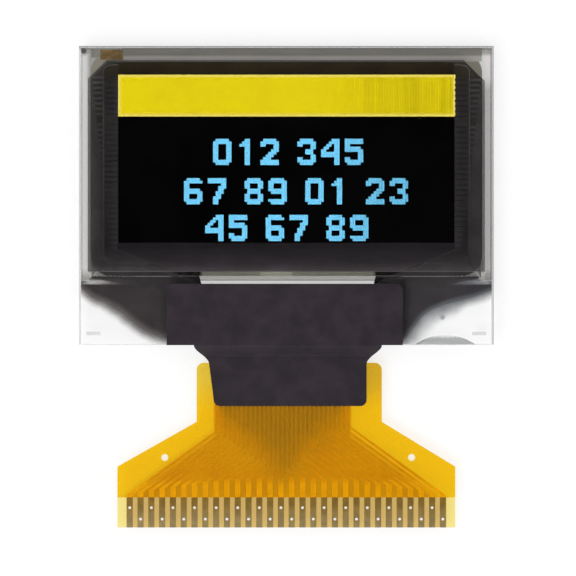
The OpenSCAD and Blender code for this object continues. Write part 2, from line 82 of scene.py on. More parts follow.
def held(*numbers: float) -> float:
    """Gives the least of some numbers, kept within 0 to 1."""
    return max(0.0, min(1.0, *numbers))


def corners(node: str) -> tuple[Vector, Vector]:
    """Gives the lowest and highest corner of a CAD node in millimetres."""
    low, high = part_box(node)
    return low / MM, high / MM


# ---- Node trees ------------------------------------------------------------------------


class Graph:
    """The node tree of a material or of the world, written one node at a time."""

    def __init__(self, name: str, world: bool = False) -> None:
        """Starts an empty tree.

        Args:
            name: Name of the material or the world.
            world: Whether the tree is the world's.
        """
        self.ending = "ShaderNodeOutputWorld" if world else "ShaderNodeOutputMaterial"
        self.home = (bpy.data.worlds if world else bpy.data.materials).new(name)
        self.home.use_nodes = True
        self.tree = self.home.node_tree
        self.tree.nodes.clear()

    def add(self, kind: str, feeds: Optional[dict[Union[int, str], Optional[Value]]] = None,
            **settings: object) -> bpy.types.bpy_prop_collection:
        """Adds a node, sets its properties and feeds its inputs.

        Args:
            kind: Blender's name for the node type.
            feeds: What enters each input, by its number or name; None leaves it alone.
            settings: Properties to set on the node.

        Returns:
            The node's outputs.
        """
        node = self.tree.nodes.new(kind)
        for key, value in settings.items():
            setattr(node, key, value)
        for key, value in (feeds or {}).items():
            socket = node.inputs[key]
            if isinstance(value, Socket):
                self.tree.links.new(value, socket)
            elif isinstance(value, tuple) and socket.type == "RGBA":
                socket.default_value = (*value, 1.0)
            elif value is not None:
                socket.default_value = value
        return node.outputs

    def math(self, operation: str, first: Value, second: Value = 0.0) -> Socket:
        """Works out one sum, by Blender's name for it."""
        return self.add("ShaderNodeMath", {0: first, 1: second}, operation=operation)[0]

    def product(self, *values: Value) -> Socket:
        """Multiplies numbers together.

        Args:
            values: The numbers.

        Returns:
            Their product.
        """
        result = values[0]
        for value in values[1:]:
            result = self.math("MULTIPLY", result, value)
        return result

    def aside(self, middle: float) -> Socket:
        """Gives how far a place lies to either side of a line along Y, in millimetres."""
        return self.math("ABSOLUTE", self.math("SUBTRACT", self.axes()[0], middle))

    def span(self, value: Value, low: float, high: float, start: float = 0.0,
             end: float = 1.0) -> Socket:
        """Eases a number from the range low to high to the range start to end, held beyond it."""
        return self.add("ShaderNodeMapRange", {0: value, 1: low, 2: high, 3: start, 4: end},
                        interpolation_type="SMOOTHSTEP")[0]

    def ease(self, clouds: Value, start: float = 0.0, end: float = 1.0) -> Socket:
        """Spreads the middle of some clouds over the range start to end."""
        return self.span(clouds, 0.3, 0.7, start, end)

    def mix(self, share: Value, first: Value, second: Value) -> Socket:
        """Mixes two tones, from the first at 0 to the second at 1."""
        return self.add("ShaderNodeMix", {0: share, 6: first, 7: second}, data_type="RGBA")[2]

    def dim(self, tone: Value, share: Value) -> Socket:
        """Takes a tone a share of the way to black."""
        return self.mix(share, tone, BLACK)

    def place(self, size: float = 1.0, stretch: Triple = EVEN) -> Socket:
        """Gives the place on the object in steps of a size in millimetres, longer by the stretch."""
        scale = tuple(1.0 / (MM * size * longer) for longer in stretch)
        return self.add("ShaderNodeMapping", {
            "Vector": self.add("ShaderNodeTexCoord")["Object"], "Scale": scale})[0]

    def axes(self) -> bpy.types.bpy_prop_collection:
        """Gives the X, Y and Z of the place in millimetres."""
        return self.add("ShaderNodeSeparateXYZ", {0: self.place()})

    def noise(self, size: float, detail: float = 3.0, stretch: Triple = EVEN) -> Socket:
        """Gives soft random clouds about 0.5, of a size in millimetres, with finer layers on them."""
        return self.add("ShaderNodeTexNoise", {
            "Vector": self.place(size, stretch), "Scale": 1.0, "Detail": detail})[0]

    def emboss(self, height: Value, depth: float) -> Socket:
        """Turns a height of 0 to 1, which measures a depth in millimetres, into a bent normal."""
        return self.add("ShaderNodeBump", {
            "Strength": BUMP_STRENGTH, "Distance": depth * MM, "Height": height})[0]

    def body(self, colour: Value, roughness: Value, metallic: float = 0.0, gloss: float = 0.5,
             normal: Optional[Socket] = None) -> Socket:
        """Adds an opaque surface; 1 is bare metal, and a gloss of 0.5 is plain plastic."""
        return self.add("ShaderNodeBsdfPrincipled", {
            "Base Color": colour, "Roughness": roughness, "Metallic": metallic,
            "Specular IOR Level": gloss, "Normal": normal})[0]

    def blend(self, share: Value, first: Socket, second: Socket) -> Socket:
        """Mixes two shaders, from the first at 0 to the second at 1."""
        return self.add("ShaderNodeMixShader", {0: share, 1: first, 2: second})[0]

    def facing(self) -> Socket:
        """Gives 1 on a surface seen from outside and 0 on one seen from within."""
        return self.math("SUBTRACT", 1.0, self.add("ShaderNodeNewGeometry")["Backfacing"])

    def clear(self, tint: Value) -> Socket:
        """Lets light straight through, multiplied by a tint only where it enters."""
        return self.add("ShaderNodeBsdfTransparent", {0: self.mix(self.facing(), WHITE, tint)})[0]

    def polish(self, shader: Socket, roughness: float, normal: Optional[Socket] = None) -> Socket:
        """Lays the shine of a smooth clear surface over a shader."""
        gloss = self.add("ShaderNodeBsdfGlossy", {"Roughness": roughness, "Normal": normal})[0]
        return self.blend(self.product(self.add("ShaderNodeFresnel")[0], self.facing()), shader, gloss)

    def light(self, colour: Value, strength: float) -> Socket:
        """Adds a surface that gives light."""
        return self.add("ShaderNodeEmission", {"Color": colour, "Strength": strength})[0]

    def done(self, shader: Socket) -> Union[bpy.types.Material, bpy.types.World]:
        """Ends the tree with its shader and gives what it belongs to."""
        self.add(self.ending, {"Surface": shader})
        return self.home


# ---- Finishes --------------------------------------------------------------------------


class Finish(Protocol):
    """Anything that can make the material of a piece."""

    name: str

    def material(self) -> bpy.types.Material:
        """Makes the material."""


@dataclass(frozen=True)
class Mottled:
    """An opaque finish whose tone drifts in clouds over a fine grain."""

    name: str
    tone: Tone
    drift: float = 0.12
    cloud: float = 2.0
    grain: float = 0.06
    depth: float = 0.004
    roughness: float = 0.5
    metallic: float = 0.0
    gloss: float = 0.5
    stretch: Triple = EVEN

    def material(self) -> bpy.types.Material:
        """Makes the material.

        Returns:
            The material.
        """
        graph = Graph(self.name)
        clouds = graph.ease(graph.noise(self.cloud, 3.0, self.stretch))
        grain = graph.noise(self.grain, 2.0, self.stretch)
        tone = graph.mix(clouds, shaded(self.tone, 1.0 - self.drift),
                         shaded(self.tone, 1.0 + self.drift))
        rough = graph.ease(grain, self.roughness * 0.85, self.roughness * 1.15)
        normal = graph.emboss(grain, self.depth)
        return graph.done(graph.body(tone, rough, self.metallic, self.gloss, normal))


@dataclass(frozen=True)
class Graded:
    """An opaque finish that runs through several tones along Y, with long faint drifts."""

    name: str
    tones: tuple[Tone, ...]
    bounds: Line
    drift: float = 0.1
    roughness: float = 0.4
    metallic: float = 0.0
    gloss: float = 0.2
    stretch: Triple = (6.0, 1.0, 1.0)

    def material(self) -> bpy.types.Material:
        """Makes the material.

        Returns:
            The material.
        """
        graph = Graph(self.name)
        up = graph.axes()[1]
        tone: Value = self.tones[0]
        for (low, high), above in zip(self.bounds, self.tones[1:]):
            tone = graph.mix(graph.span(up, low, high), tone, above)
        clouds = graph.ease(graph.noise(0.6, 3.0, self.stretch))
        tone = graph.dim(tone, graph.product(clouds, self.drift))
        normal = graph.emboss(graph.noise(0.05, 2.0), 0.002)
        return graph.done(graph.body(tone, self.roughness, self.metallic, self.gloss, normal))


@dataclass(frozen=True)
class ClearSheet:
    """A see-through sheet with a faint haze and the shine of glass or film."""

    name: str
    tint: Tone
    haze_tone: Tone = (0.8, 0.8, 0.8)
    haze: float = 0.02
    shine: float = 0.03

    def colour(self, graph: Graph) -> Value:
        """Gives what light is multiplied by on its way through the sheet."""
        return self.tint

    def material(self) -> bpy.types.Material:
        """Makes the material.

        Returns:
            The material.
        """
        graph = Graph(self.name)
        tint = self.colour(graph)
        clouds = graph.ease(graph.noise(4.0), self.haze * 0.5, self.haze * 1.5)
        share = graph.product(graph.facing(), clouds)
        sheet = graph.blend(share, graph.clear(tint), graph.body(self.haze_tone, 0.45))
        return graph.done(graph.polish(sheet, self.shine))


@dataclass(frozen=True)
class ShadedCap(ClearSheet):
    """The cap glass, with painted shade beside the seal, along its top, at the ends of its sides and on
    its right strip, and painted light in its upper right corner.
    """

    # Painted shade on the right strip, and painted light in its upper right corner.
    right_shade_tint: Tone = (0.5, 0.5, 0.5)
    corner_light_tint: Tone = (0.8, 0.8, 0.8)
    # The dark tint that all the painted shade in this glass runs to.
    stain_and_shade: Tone = (0.06, 0.045, 0.012)
    # Strengths of the painted shade beside the seal, along the top and side ends, and in the upper left.
    beside: float = 0.5
    ends: float = 0.5
    upper_left_shade: float = 0.74

    def colour(self, graph: Graph) -> Value:
        """Gives what light is multiplied by on its way through the sheet.

        Args:
            graph: The tree being written.

        Returns:
            The tint.
        """
        across, up, _ = graph.axes()
        # Painted shade on the right strip, lifted towards the upper right corner by painted light.
        corner = graph.span(up, 4.6, 5.8)
        right = graph.mix(corner, self.right_shade_tint, self.corner_light_tint)
        tint = graph.mix(graph.span(across, 12.75, 13.0), self.tint, right)
        # Painted shade beside the seal, left off where the glass lies free.
        inward = graph.span(graph.aside(0.0), 13.02, 12.72)
        free = graph.math("MAXIMUM", graph.product(graph.span(across, 12.3, 12.55), corner),
                          graph.span(up, -6.8, -7.4, 0.0, 0.6))
        seal = graph.product(inward, graph.math("SUBTRACT", 1.0, free), self.beside)
        # Painted shade along the top and at the ends of the sides.
        ends = graph.math("MAXIMUM", graph.span(up, 6.95, 7.25), graph.span(up, -6.6, -7.55))
        ends = graph.product(ends, graph.span(graph.aside(0.0), 8.0, 11.0), self.ends)
        # Painted shade in the upper left.
        upper_left_shade = graph.product(graph.span(across, -12.95, -12.6), graph.span(across, -9.0, -10.5),
                              graph.span(up, 6.75, 6.95), graph.span(up, 7.52, 7.4), self.upper_left_shade)
        share = graph.math("MAXIMUM", graph.math("MAXIMUM", seal, ends), upper_left_shade)
        return graph.mix(share, tint, self.stain_and_shade)


@dataclass(frozen=True)
class GroundGlass:
    """The cut and ground edge of a sheet of glass, half clear and half frosted, whose sides can carry
    painted shade and painted light.
    """

    name: str
    tone: Tone
    cover: float = 0.5
    roughness: float = 0.35
    fade: Optional[Pair] = None
    # Tones for painted shade on the right and top edges and painted light on the bottom edge.
    right_shade_tone: Optional[Tone] = None
    top_tone: Optional[Tone] = None
    low_tone: Optional[Tone] = None

    def material(self) -> bpy.types.Material:
        """Makes the material.

        Returns:
            The material.
        """
        graph = Graph(self.name)
        grain = graph.noise(0.12, 4.0)
        across, up, _ = graph.axes()
        # Painted shade on the right and top edges, painted light on the bottom edge.
        tone = graph.mix(graph.span(across, -2.0, 2.0), self.tone, self.right_shade_tone or self.tone)
        tone = graph.mix(graph.span(up, 7.3, 7.5), tone, self.top_tone or self.tone)
        tone = graph.mix(graph.span(up, -11.6, -11.68), tone, self.low_tone or self.tone)
        frost = graph.body(graph.dim(tone, graph.ease(grain, 0.0, 0.15)), self.roughness,
                           normal=graph.emboss(grain, 0.02))
        clear_tone = graph.mix(0.12, tone, WHITE)
        share = graph.span(grain, 0.35, 0.65, self.cover * 0.8, self.cover * 1.2)
        if self.fade is not None:
            edge = graph.span(up, *self.fade)
            share = graph.product(share, edge)
            clear_tone = graph.mix(edge, WHITE, clear_tone)
        return graph.done(graph.blend(share, graph.clear(clear_tone), frost))


@dataclass(frozen=True)
class StainedSeal:
    """Pale seal resin, lighter in the clear window, dark where other resin has run into it, and darkened
    by painted shade where the dark film lies over it.
    """

    name: str
    tone: Tone
    window_tone: Tone
    stain_and_shade: Tone
    window: Pair = (-5.5, 5.7)
    blur: float = 0.15
    bottom: Pair = (-6.93, -7.03)
    top: Pair = (6.66, 6.58)
    # How much painted shade darkens the seal under the dark film.
    shade: float = 0.54
    cut: float = 18.2

    def material(self) -> bpy.types.Material:
        """Makes the material.

        Returns:
            The material.
        """
        graph = Graph(self.name)
        across, up, _ = graph.axes()
        pale = graph.dim(self.tone, graph.ease(graph.noise(1.5), 0.0, 0.12))
        left, right = self.window
        inside = graph.product(graph.span(across, left - self.blur, left + self.blur),
                               graph.span(across, right + self.blur, right - self.blur))
        low = graph.mix(inside, self.stain_and_shade, self.window_tone)
        # Painted shade under the dark film, up to its top edge and inside its cut corners.
        cut = graph.span(graph.math("ADD", graph.aside(0.0), up), self.cut + 0.05, self.cut - 0.05)
        pale = graph.dim(pale, graph.product(graph.span(up, *self.top), cut, self.shade))
        tone = graph.mix(graph.span(up, *self.bottom), pale, low)
        normal = graph.emboss(graph.noise(0.15, 2.0), 0.006)
        return graph.done(graph.body(tone, 0.45, gloss=0.05, normal=normal))


@dataclass(frozen=True)
class LeadRows:
    """Thin metal leads that look lighter over the seal than over the insulating film."""

    name: str
    inner_tone: Tone
    outer_tone: Tone
    low_tone: Tone
    inner: float = 11.6
    outer: float = 12.1
    bottom: Pair = (-5.6, -6.6)
    film: Pair = (-6.93, -7.01)

    def material(self) -> bpy.types.Material:
        """Makes the material.

        Returns:
            The material.
        """
        graph = Graph(self.name)
        up = graph.axes()[1]
        beside = graph.span(graph.aside(0.0), self.inner, self.outer)
        below = graph.span(up, *self.bottom)
        tone = graph.mix(graph.math("MAXIMUM", beside, below), self.inner_tone, self.outer_tone)
        tone = graph.mix(graph.span(up, *self.film), tone, self.low_tone)
        tone = graph.dim(tone, graph.ease(graph.noise(1.0), 0.0, 0.25))
        normal = graph.emboss(graph.noise(0.05, 2.0), 0.001)
        return graph.done(graph.body(tone, 0.4, gloss=0.05, normal=normal))


@dataclass(frozen=True)
class ColumnLeads:
    """Leads that are clear over the lit screen and the window, and metal in between."""

    name: str
    tint: Tone
    low_tone: Tone
    high_tone: Tone
    top_tone: Tone
    screen: Pair = (-5.1, 5.83)
    window: float = -6.95
    blur: float = 0.04

    def material(self) -> bpy.types.Material:
        """Makes the material.

        Returns:
            The material.
        """
        graph = Graph(self.name)
        up = graph.axes()[1]
        low, high = self.screen
        below = graph.product(graph.span(up, low + self.blur, low - self.blur),
                              graph.span(up, self.window - self.blur, self.window + self.blur))
        above = graph.span(up, high - self.blur, high + self.blur)
        metal = graph.product(graph.math("ADD", below, above), graph.facing())
        tone = graph.mix(graph.span(up, self.window, low), self.low_tone, self.high_tone)
        tone = graph.mix(above, tone, self.top_tone)
        tone = graph.dim(tone, graph.ease(graph.noise(1.2, 3.0, (2.0, 1.0, 1.0)), 0.0, 0.2))
        clear = graph.polish(graph.clear(self.tint), 0.1)
        return graph.done(graph.blend(metal, clear, graph.body(tone, 0.45, gloss=0.05)))


@dataclass(frozen=True)
class TrackField:
    """Where the tracks lie on the tail: a fan of slopes below a straight bundle."""

    top: float = -14.1
    slope: float = 0.7265
    middle: float = -0.25
    half: float = 4.45
    heart_low: float = -20.0
    heart_slope: float = 0.85
    pads_top: float = -21.61
    pads_half: float = 10.45

    def fan(self, graph: Graph) -> Socket:
        """Tells where tracks lie under the cover film.

        Args:
            graph: The tree being written.

        Returns:
            1 over the tracks and 0 beside them.
        """
        out = graph.aside(self.middle)
        line = graph.math("SUBTRACT", self.top, graph.product(out, self.slope))
        up = graph.axes()[1]
        below = graph.span(graph.math("SUBTRACT", line, up), -0.5, 0.9)
        bundle = graph.span(graph.math("SUBTRACT", self.half, out), -0.1, 0.15)
        covered = graph.span(up, self.pads_top - 0.02, self.pads_top + 0.02)
        return graph.product(graph.math("MAXIMUM", below, bundle), covered)

    def heart(self, graph: Graph) -> Socket:
        """Tells where the close bundle lies, down to a ragged V.

        Args:
            graph: The tree being written.

        Returns:
            1 in the bundle and 0 outside it.
        """
        out = graph.aside(self.middle)
        wander = graph.product(graph.math("SUBTRACT", graph.noise(1.0, 4.0), 0.5), 2.6)
        rim = graph.math("ADD", graph.product(out, self.heart_slope), self.heart_low)
        depth = graph.math("ADD", graph.math("SUBTRACT", graph.axes()[1], rim), wander)
        bundle = graph.span(graph.math("SUBTRACT", self.half, out), 0.1, 0.9)
        return graph.product(graph.span(depth, -1.6, 2.2), bundle)

    def lands(self, graph: Graph) -> Socket:
        """Gives 1 between the bare pads and 0 elsewhere."""
        below = graph.span(graph.axes()[1], self.pads_top + 0.02, self.pads_top - 0.02)
        return graph.product(below, graph.span(graph.aside(0.0), self.pads_half, self.pads_half - 0.2))


@dataclass(frozen=True)
class AmberFilm:
    """A polyimide film that tints the light, with other tints over the tracks, a painted shadow of the
    tracks where they fan out, and painted shade and reflection from the tape on the neck.
    """

    name: str
    tint: Tone
    # Painted shadow of the tracks on the floor below, seen through the film.
    fan_shadow_tint: Tone
    heart_tint: Tone
    lands_tint: Tone
    body_tone: Tone
    cover: float
    # Tints for painted shade and reflection from the tape on the neck, darker on the right.
    neck_shade_left: Tone
    neck_shade_right: Tone
    neck: Pair = (-16.2, -13.6)
    shine: float = 0.12
    tracks: TrackField = TrackField()

    def material(self) -> bpy.types.Material:
        """Makes the material.

        Returns:
            The material.
        """
        graph = Graph(self.name)
        drift = graph.ease(graph.noise(2.5), 0.8, 1.0)
        fan = graph.product(self.tracks.fan(graph), drift)
        across, up, _ = graph.axes()
        # Painted shade and reflection from the tape on the neck, darker on the right.
        neck = graph.mix(graph.span(across, -3.0, 3.0), self.neck_shade_left, self.neck_shade_right)
        tint = graph.mix(graph.span(up, *self.neck), self.tint, neck)
        # Painted shadow of the tracks where they fan out.
        tint = graph.mix(fan, tint, self.fan_shadow_tint)
        tint = graph.mix(self.tracks.heart(graph), tint, self.heart_tint)
        tint = graph.mix(self.tracks.lands(graph), tint, self.lands_tint)
        normal = graph.emboss(graph.noise(0.8), 0.01)
        # Painted shade on the film's body over the track fan.
        tone = graph.mix(fan, self.body_tone, shaded(self.body_tone, 0.8))
        share = graph.product(graph.facing(), self.cover)
        film = graph.blend(share, graph.clear(tint), graph.body(tone, 0.4, normal=normal))
        return graph.done(graph.polish(film, self.shine, normal))


@dataclass(frozen=True)
class LitDots:
    """Light-giving dots, paler along the rim of their field and uneven towards one side."""

    name: str
    tone: Tone
    strength: float
    rim_tone: Tone
    half_width: float = 100.0
    middle: float = 0.03
    low: float = -100.0
    high: float = 100.0
    rim: float = 0.17
    side: Pair = (2.0, 7.0)
    uneven: float = 0.13
    side_loss: float = 0.12

    def material(self) -> bpy.types.Material:
        """Makes the material.

        Returns:
            The material.
        """
        graph = Graph(self.name)
        across, up, _ = graph.axes()
        columns = graph.span(graph.noise(0.45, 2.0, (1.0, 60.0, 60.0)), 0.35, 0.65)
        side = graph.span(across, *self.side)
        loss = graph.math("ADD", graph.product(columns, side, self.uneven),
                          graph.product(side, self.side_loss))
        clouds = graph.product(graph.noise(1.5), 0.1)
        tone = graph.dim(self.tone, graph.math("ADD", loss, clouds))
        inward = graph.math("SUBTRACT", self.half_width, graph.aside(self.middle))
        inward = graph.math("MINIMUM", inward, graph.math("SUBTRACT", self.high, up))
        inward = graph.math("MINIMUM", inward, graph.math("SUBTRACT", up, self.low))
        tone = graph.mix(graph.span(inward, self.rim * 1.5, self.rim * 0.5), tone, self.rim_tone)
        tone = graph.dim(tone, graph.span(inward, 0.02, -0.02))
        return graph.done(graph.light(tone, self.strength))


@dataclass(frozen=True)
class FadingResin:
    """Dark resin that thins out to a see-through edge where its cover attribute falls."""

    name: str
    tone: Tone
    thin_tone: Tone
    thin_right: Tone
    attribute: str
    gloss: float = 0.1

    def material(self) -> bpy.types.Material:
        """Makes the material.

        Returns:
            The material.
        """
        graph = Graph(self.name)
        cover = graph.add("ShaderNodeAttribute", attribute_name=self.attribute)["Fac"]
        clouds = graph.noise(1.3, 4.0)
        wander = graph.product(graph.math("SUBTRACT", clouds, 0.5), 0.25)
        share = graph.span(graph.math("ADD", cover, wander), 0.05, 0.9)
        side = graph.span(graph.axes()[0], -2.0, 2.0)
        thin = graph.mix(side, self.thin_tone, self.thin_right)
        tone = graph.mix(graph.span(cover, 0.5, 1.1), thin, self.tone)
        tone = graph.dim(tone, graph.ease(clouds, 0.0, 0.2))
        normal = graph.emboss(graph.noise(0.3), 0.01)
        resin = graph.body(tone, 0.35, gloss=self.gloss, normal=normal)
        return graph.done(graph.blend(share, graph.add("ShaderNodeBsdfTransparent")[0], resin))


# ---- Work on the bench -----------------------------------------------------------------


class Workpiece:
    """One piece on the bench, worked in millimetres and scaled down when it is finished."""

    def __init__(self, thing: bpy.types.Object) -> None:
        """Takes an object that is already in place."""
        self.thing = thing

    @classmethod
    def block(cls, name: str, low: Vector, high: Vector) -> "Workpiece":
        """Starts a piece from a block.

        Args:
            name: The piece's name.
            low: Lowest corner in millimetres.
            high: Highest corner in millimetres.

        Returns:
            The piece.
        """
        clear_bench()
        bpy.ops.mesh.primitive_cube_add(size=1.0, location=(low + high) / 2, scale=high - low)
        return cls._named(name)

    @classmethod
    def grid(cls, name: str, across: int, up: int) -> "Workpiece":
        """Starts a piece from a flat grid from 0 to 1 along X and Y.

        Args:
            name: The piece's name.
            across: Cells along X.
            up: Cells along Y.

        Returns:
            The piece.
        """
        clear_bench()
        bpy.ops.mesh.primitive_grid_add(x_subdivisions=across, y_subdivisions=up, size=1.0,
                                        location=(0.5, 0.5, 0.0))
        return cls._named(name)

    @classmethod
    def copy_of(cls, name: str, node: str) -> "Workpiece":
        """Starts a piece from a CAD node's shape, merged into one clean mesh.

        Args:
            name: The piece's name.
            node: The CAD node.

        Returns:
            The piece.
        """
        clear_bench()
        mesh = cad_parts[node].data.copy()
        mesh.materials.clear()
        thing = bpy.data.objects.new(name, mesh)
        bpy.context.scene.collection.objects.link(thing)
        thing.scale = (1.0 / MM,) * 3
        piece = cls(thing)
        piece.take_up()
        bpy.ops.object.transform_apply(location=False, rotation=False, scale=True)
        bpy.ops.mesh.customdata_custom_splitnormals_clear()
        with piece.edit():
            bpy.ops.mesh.select_all(action="SELECT")
            bpy.ops.mesh.remove_doubles(threshold=0.0005)
            bpy.ops.mesh.dissolve_limited(angle_limit=math.radians(0.6))
        return piece

    @classmethod
    def _named(cls, name: str) -> "Workpiece":
        """Names the primitive just added and puts its place into its mesh.

        Args:
            name: The piece's name.

        Returns:
            The piece.
        """
        thing = bpy.context.active_object
        thing.name = name
        bpy.ops.object.transform_apply(location=True, rotation=True, scale=True)
        return cls(thing)

    def take_up(self) -> None:
        """Makes this piece the only one selected."""
        clear_bench()
        self.thing.select_set(True)
        bpy.context.view_layer.objects.active = self.thing

    @contextmanager
    def edit(self, mode: str = "FACE") -> Iterator[bmesh.types.BMesh]:
        """Opens the mesh for editing with nothing selected.

        Args:
            mode: What is selected: FACE, EDGE or VERT.

        Yields:
            The mesh being edited.
        """
        self.take_up()
        bpy.ops.object.mode_set(mode="EDIT")
        bpy.ops.mesh.select_mode(type=mode)
        bpy.ops.mesh.select_all(action="DESELECT")
        yield bmesh.from_edit_mesh(self.thing.data)
        bpy.ops.object.mode_set(mode="OBJECT")

    def pick(self, parts: Iterable[Part], test: Callable[[Part], bool]) -> int:
        """Selects the corners, edges or faces that pass a test.

        Args:
            parts: The mesh's corners, edges or faces.
            test: Says whether one is wanted.

        Returns:
            How many were selected.
        """
        chosen = [part for part in parts if test(part)]
        for part in chosen:
            part.select_set(True)
        bmesh.update_edit_mesh(self.thing.data)
        return len(chosen)

    def shift_level(self, level: float, step: float) -> None:
        """Moves the flat faces at a height a little along Z.

        Args:
            level: Height of the faces.
            step: How far they move.
        """
        with self.edit("VERT") as mesh:
            self.pick(mesh.verts, lambda corner: abs(corner.co.z - level) < SAME_LEVEL)
            bpy.ops.transform.translate(value=(0.0, 0.0, step))

    def soften_rims(self, levels: tuple[float, ...], width: float, shortest: float = 0.0,
                    segments: int = 2) -> None:
        """Bevels the rims of the flat faces at some heights.

        Args:
            levels: Heights of the rims.
            width: Width of the bevel.
            shortest: Edges shorter than this stay sharp.
            segments: Steps across the bevel.
        """
        def rim(edge: bmesh.types.BMEdge) -> bool:
            """Tells whether an edge is bent, long enough and at one of the heights."""
            level = any(all(abs(end.co.z - z) < SAME_LEVEL for end in edge.verts) for z in levels)
            return (level and len(edge.link_faces) == 2 and edge.calc_face_angle(0.0) > 0.5
                    and edge.calc_length() >= shortest)

        with self.edit("EDGE") as mesh:
            self.pick(mesh.edges, rim)
            bpy.ops.mesh.bevel(offset=width, segments=segments, affect="EDGES")

    def repeat(self, count: int, step: Triple) -> None:
        """Repeats the piece in a row.

        Args:
            count: How many there are in all.
            step: From one to the next.
        """
        self.take_up()
        row = self.thing.modifiers.new("row", "ARRAY")
        row.count = count
        row.use_relative_offset = False
        row.use_constant_offset = True
        row.constant_offset_displace = step
        bpy.ops.object.modifier_apply(modifier=row.name)

    def finish(self, finishes: list[Finish], slot: str, replaces: tuple[str, ...] = (),
               smooth: float = 20.0) -> bpy.types.Object:
        """Scales the piece to metres, dresses it and enters it in the frame.

        Args:
            finishes: Its finishes, the main one first.
            slot: Name of the material slot the piece stands for; it is only written to the log.
            replaces: CAD nodes that it stands for.
            smooth: Edges under this angle in degrees are shaded smooth.

        Returns:
            The finished object.
        """
        self.take_up()
        self.thing.scale = (MM,) * 3
        bpy.ops.object.transform_apply(location=False, rotation=False, scale=True)
        bpy.ops.object.shade_smooth_by_angle(angle=math.radians(smooth))
        for finish in finishes:
            self.thing.data.materials.append(finish.material())
        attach(self.thing, "root")
        if replaces:
            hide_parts(*replaces)
        log.info("piece %s: %d faces, slot %s", self.thing.name, len(self.thing.data.polygons), slot)
        return self.thing


def clear_bench() -> None:
    """Leaves edit mode and deselects everything."""
    if bpy.context.mode != "OBJECT":
        bpy.ops.object.mode_set(mode="OBJECT")
    bpy.ops.object.select_all(action="DESELECT")


def dress_all(finishes: dict[str, Finish]) -> None:
    """Gives CAD nodes their finishes.

    Args:
        finishes: Each node's name and its finish.
    """
    for node, finish in finishes.items():
        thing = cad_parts[node]
        thing.data.materials.clear()
        thing.data.materials.append(finish.material())
        log.info("node %s: %s", node, finish.name)


# ---- Sub-assemblies --------------------------------------------------------------------


@dataclass
class GlassPair:
    """The front glass and the cap glass with the seal and the drying sheet between them."""

    rim: float = 0.05
    slip: float = 0.002
    front_edge: float = 1.0
    cap_side: float = 5.0
    clear: ClearSheet = ClearSheet("clear_front_glass", (0.996, 0.998, 0.997), haze=0.001)
    # The ground edge is darkened by painted shade on its right and top sides and lightened by painted
    # light along its bottom.
    ground: GroundGlass = GroundGlass("ground_glass_edge", srgb(224, 224, 222),
                                      right_shade_tone=srgb(165, 164, 166), top_tone=srgb(140, 140, 138),
                                      low_tone=srgb(244, 244, 244))
    scar: GroundGlass = GroundGlass("chipped_glass", srgb(158, 163, 160), 0.75, 0.3,
                                    (-11.02, -11.35))
    # The cap glass carries painted shade and painted light in its tints.
    back: ShadedCap = ShadedCap("clear_cap_glass", srgb(230, 229, 227), haze=0.05,
                                right_shade_tint=srgb(196, 194, 194), corner_light_tint=srgb(236, 232, 231))
    frosted: GroundGlass = GroundGlass("etched_recess", srgb(205, 206, 205), 0.6, 0.6)
    seal: StainedSeal = StainedSeal("seal_resin", srgb(150, 147, 135), srgb(208, 205, 190),
                                      (0.035, 0.032, 0.033))
    drying: Mottled = Mottled("drying_sheet", srgb(226, 224, 216), 0.05, 1.0, 0.08, 0.01, 0.85)

    def build(self) -> None:
        """Builds and dresses the glasses and what lies between them."""
        self._front()
        self._cap()
        dress_all({"seal_frame": self.seal, "desiccant_sheet": self.drying})

    def _front(self) -> None:
        """Cuts the front glass with its ground rims and the chip in its lower edge."""
        low, high = corners("substrate_glass")
        piece = Workpiece.copy_of("front_glass", "substrate_glass")
        piece.shift_level(low.z, self.slip)
        piece.shift_level(high.z, -self.slip)
        piece.soften_rims((low.z + self.slip, high.z - self.slip), self.rim, self.front_edge)
        thing = piece.finish([self.clear, self.ground, self.scar], "front_glass",
                             ("substrate_glass",))
        self._sort_faces(thing, low, high, lambda centre, upright: upright)

    def _cap(self) -> None:
        """Cuts the cap glass with its ground rim and frosted recess."""
        low, high = corners("cap_glass")
        floor_level = corners("desiccant_sheet")[0].z
        piece = Workpiece.copy_of("cap_back_glass", "cap_glass")
        piece.shift_level(high.z, -self.slip)
        piece.shift_level(floor_level, -self.slip)
        piece.soften_rims((low.z, high.z - self.slip), self.rim, self.cap_side)
        thing = piece.finish([self.back, self.ground, self.frosted], "cap_glass", ("cap_glass",))
        self._sort_faces(thing, low, high,
                         lambda centre, upright: low.z + 0.01 < centre.z < high.z - 0.01)

    def _sort_faces(self, thing: bpy.types.Object, low: Vector, high: Vector,
                    inner: Callable[[Vector, bool], bool]) -> None:
        """Gives the outer edges the second finish and the inner faces the third.

        Args:
            thing: The glass.
            low: Its lowest corner in millimetres.
            high: Its highest corner in millimetres.
            inner: Takes a face's centre and whether it stands upright, and says if it is inner.
        """
        for face in thing.data.polygons:
            centre = face.center / MM
            upright = abs(face.normal.z) < UPRIGHT
            outer = max(abs(centre.x) - high.x, centre.y - high.y, low.y - centre.y) > -self.rim
            if outer and upright:
                face.material_index = 1
            elif inner(centre, upright):
                face.material_index = 2


class Light(Enum):
    """Colours in which the screen's dots give light."""

    YELLOW = "yellow"
    BLUE = "blue"


